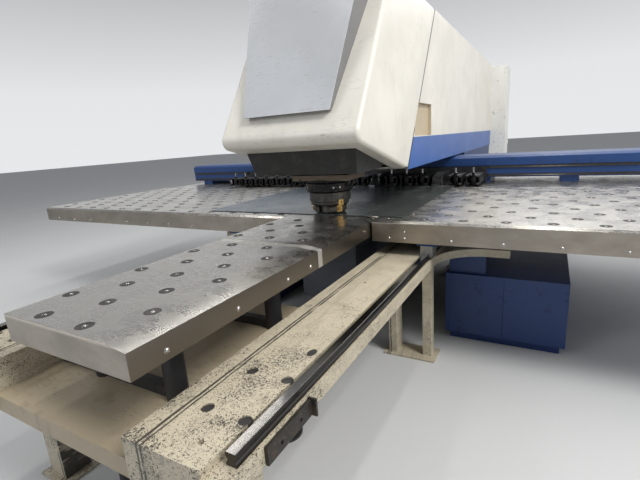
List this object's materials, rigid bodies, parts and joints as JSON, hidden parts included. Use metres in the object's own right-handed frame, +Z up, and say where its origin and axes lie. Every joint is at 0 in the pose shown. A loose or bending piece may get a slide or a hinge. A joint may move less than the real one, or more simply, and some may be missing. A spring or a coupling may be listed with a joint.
{
  "type": "cnc punch press",
  "caption": "Sheet-metal punch press: C-frame with a punching head over a die, moving side tables on rail beams, crossbeam with tool cassettes and sheet clamps.",
  "frame": {"origin": "on the floor, at the centre of the machine's footprint; the tool axis is 1.639 m in front of it", "axes": "+Z up, +X along the crossbeam, +Y from the loading side towards the cabinet"},
  "size_m": [6.8, 7.4184, 2.467],
  "materials": {
    "frame_grey": "satin",
    "base_blue": "satin",
    "cover_cream": "semi-gloss",
    "band_blue": "semi-gloss",
    "recess_beige": "satin",
    "panel_grey": "satin",
    "panel_silver": "satin",
    "skirt_black": "matt",
    "housing_steel": "satin",
    "flange_brown": "machined, stained",
    "index_dark": "oiled",
    "screw_steel": "bright",
    "hose_black": "satin",
    "jaw_bronze": "worn",
    "tool_steel": "ground",
    "beam_cream": "chipped",
    "rail_steel": "ground",
    "plug_dark": "matt",
    "pad_dark": "machined",
    "stainless": "brushed, scratched",
    "post_black": "satin",
    "roller_dark": "bristles round a bright ball",
    "crossbeam_blue": "semi-gloss",
    "slide_black": "satin",
    "cassette_black": "matt",
    "clamp_steel": "worn",
    "sheet_steel": "oiled, glossy",
    "cabinet_white": "semi-gloss"
  },
  "bodies": {
    "frame": {"c_frame": "frame_grey", "base_plate": "frame_grey", "front_foot": "frame_grey", "rear_base": "base_blue", "arm_cover": "cover_cream", "arm_bands": "band_blue", "recess_panel": "recess_beige", "head_cover": "cover_cream", "panel_box": "panel_grey", "head_panel": "panel_silver", "head_skirt": "skirt_black", "head_housing": "housing_steel", "flange_plate": "flange_brown", "index_housing": "index_dark", "head_screws": "screw_steel", "head_hoses": "hose_black", "die_adapter": "tool_steel", "rail_beam_left": "beam_cream", "rail_beam_right": "beam_cream", "profile_rails": "rail_steel", "beam_plugs": "plug_dark", "beam_side_pads": "pad_dark", "beam_legs": "beam_cream", "side_bases": "base_blue", "front_strip": "stainless", "strip_posts": "post_black", "rear_strip": "stainless", "strip_rollers": "roller_dark", "flap_hinge_rod": "tool_steel", "flap_brackets": "frame_grey", "cabinet": "cabinet_white"},
    "bed": {"table_left": "stainless", "table_right": "stainless", "table_rollers": "roller_dark", "skirt_screws": "screw_steel", "underframe": "base_blue", "carriages": "pad_dark", "crossbeam": "crossbeam_blue", "crossbeam_cover": "crossbeam_blue", "x_rails": "rail_steel"},
    "x_carriage": {"slide_bar": "slide_black", "tool_cassettes": "cassette_black", "stored_tools": "tool_steel", "clamp_bodies": "slide_black", "clamp_pins": "tool_steel", "sheet": "sheet_steel"},
    "jaw_1": {"clamp_jaw_1": "clamp_steel"},
    "jaw_2": {"clamp_jaw_2": "clamp_steel"},
    "jaw_3": {"clamp_jaw_3": "clamp_steel"},
    "index_head": {"tool_holder": "index_dark", "holder_jaws": "jaw_bronze", "stripper": "tool_steel"},
    "ram_set": {"ram": "tool_steel", "punch": "tool_steel"},
    "die_set": {"die_holder": "tool_steel", "die": "tool_steel"},
    "flap": {"parts_flap": "stainless", "flap_rollers": "roller_dark"},
    "door_left": {"cabinet_door_left": "cabinet_white"},
    "door_right": {"cabinet_door_right": "cabinet_white"}
  },
  "joints": [
    {"name": "y_travel", "type": "slide", "parent": "frame", "child": "bed", "axis": [0, 1, 0], "range_m": [-1.25, 0]},
    {"name": "x_travel", "type": "slide", "parent": "bed", "child": "x_carriage", "axis": [1, 0, 0], "range_m": [-0.54, 2]},
    {"name": "clamp_1", "type": "hinge", "parent": "x_carriage", "child": "jaw_1", "pos_m": [-0.932, -0.0692, 1.002], "axis": [-1, 0, 0], "range_deg": [0, 12]},
    {"name": "clamp_2", "type": "hinge", "parent": "x_carriage", "child": "jaw_2", "pos_m": [-0.26, -0.0692, 1.002], "axis": [-1, 0, 0], "range_deg": [0, 12]},
    {"name": "clamp_3", "type": "hinge", "parent": "x_carriage", "child": "jaw_3", "pos_m": [0.412, -0.0692, 1.002], "axis": [-1, 0, 0], "range_deg": [0, 12]},
    {"name": "tool_index", "type": "hinge", "parent": "frame", "child": "index_head", "pos_m": [0, -1.63915, 1], "axis": [0, 0, 1], "continuous": true},
    {"name": "ram_stroke", "type": "slide", "parent": "index_head", "child": "ram_set", "axis": [0, 0, -1], "range_m": [0, 0.025]},
    {"name": "die_index", "type": "hinge", "parent": "frame", "child": "die_set", "pos_m": [0, -1.63915, 0.93], "axis": [0, 0, 1], "continuous": true},
    {"name": "flap_tilt", "type": "hinge", "parent": "frame", "child": "flap", "pos_m": [0, -1.7512, 0.862], "axis": [1, 0, 0], "range_deg": [0, 28]},
    {"name": "left_door", "type": "hinge", "parent": "frame", "child": "door_left", "pos_m": [-0.718, 3.7031, 1.2], "axis": [0, 0, 1], "range_deg": [0, 110]},
    {"name": "right_door", "type": "hinge", "parent": "frame", "child": "door_right", "pos_m": [0.718, 3.7031, 1.2], "axis": [0, 0, -1], "range_deg": [0, 110]}
  ],
  "couplings": [
    {"joint": "die_index", "follows": "tool_index", "ratio": 1}
  ]
}
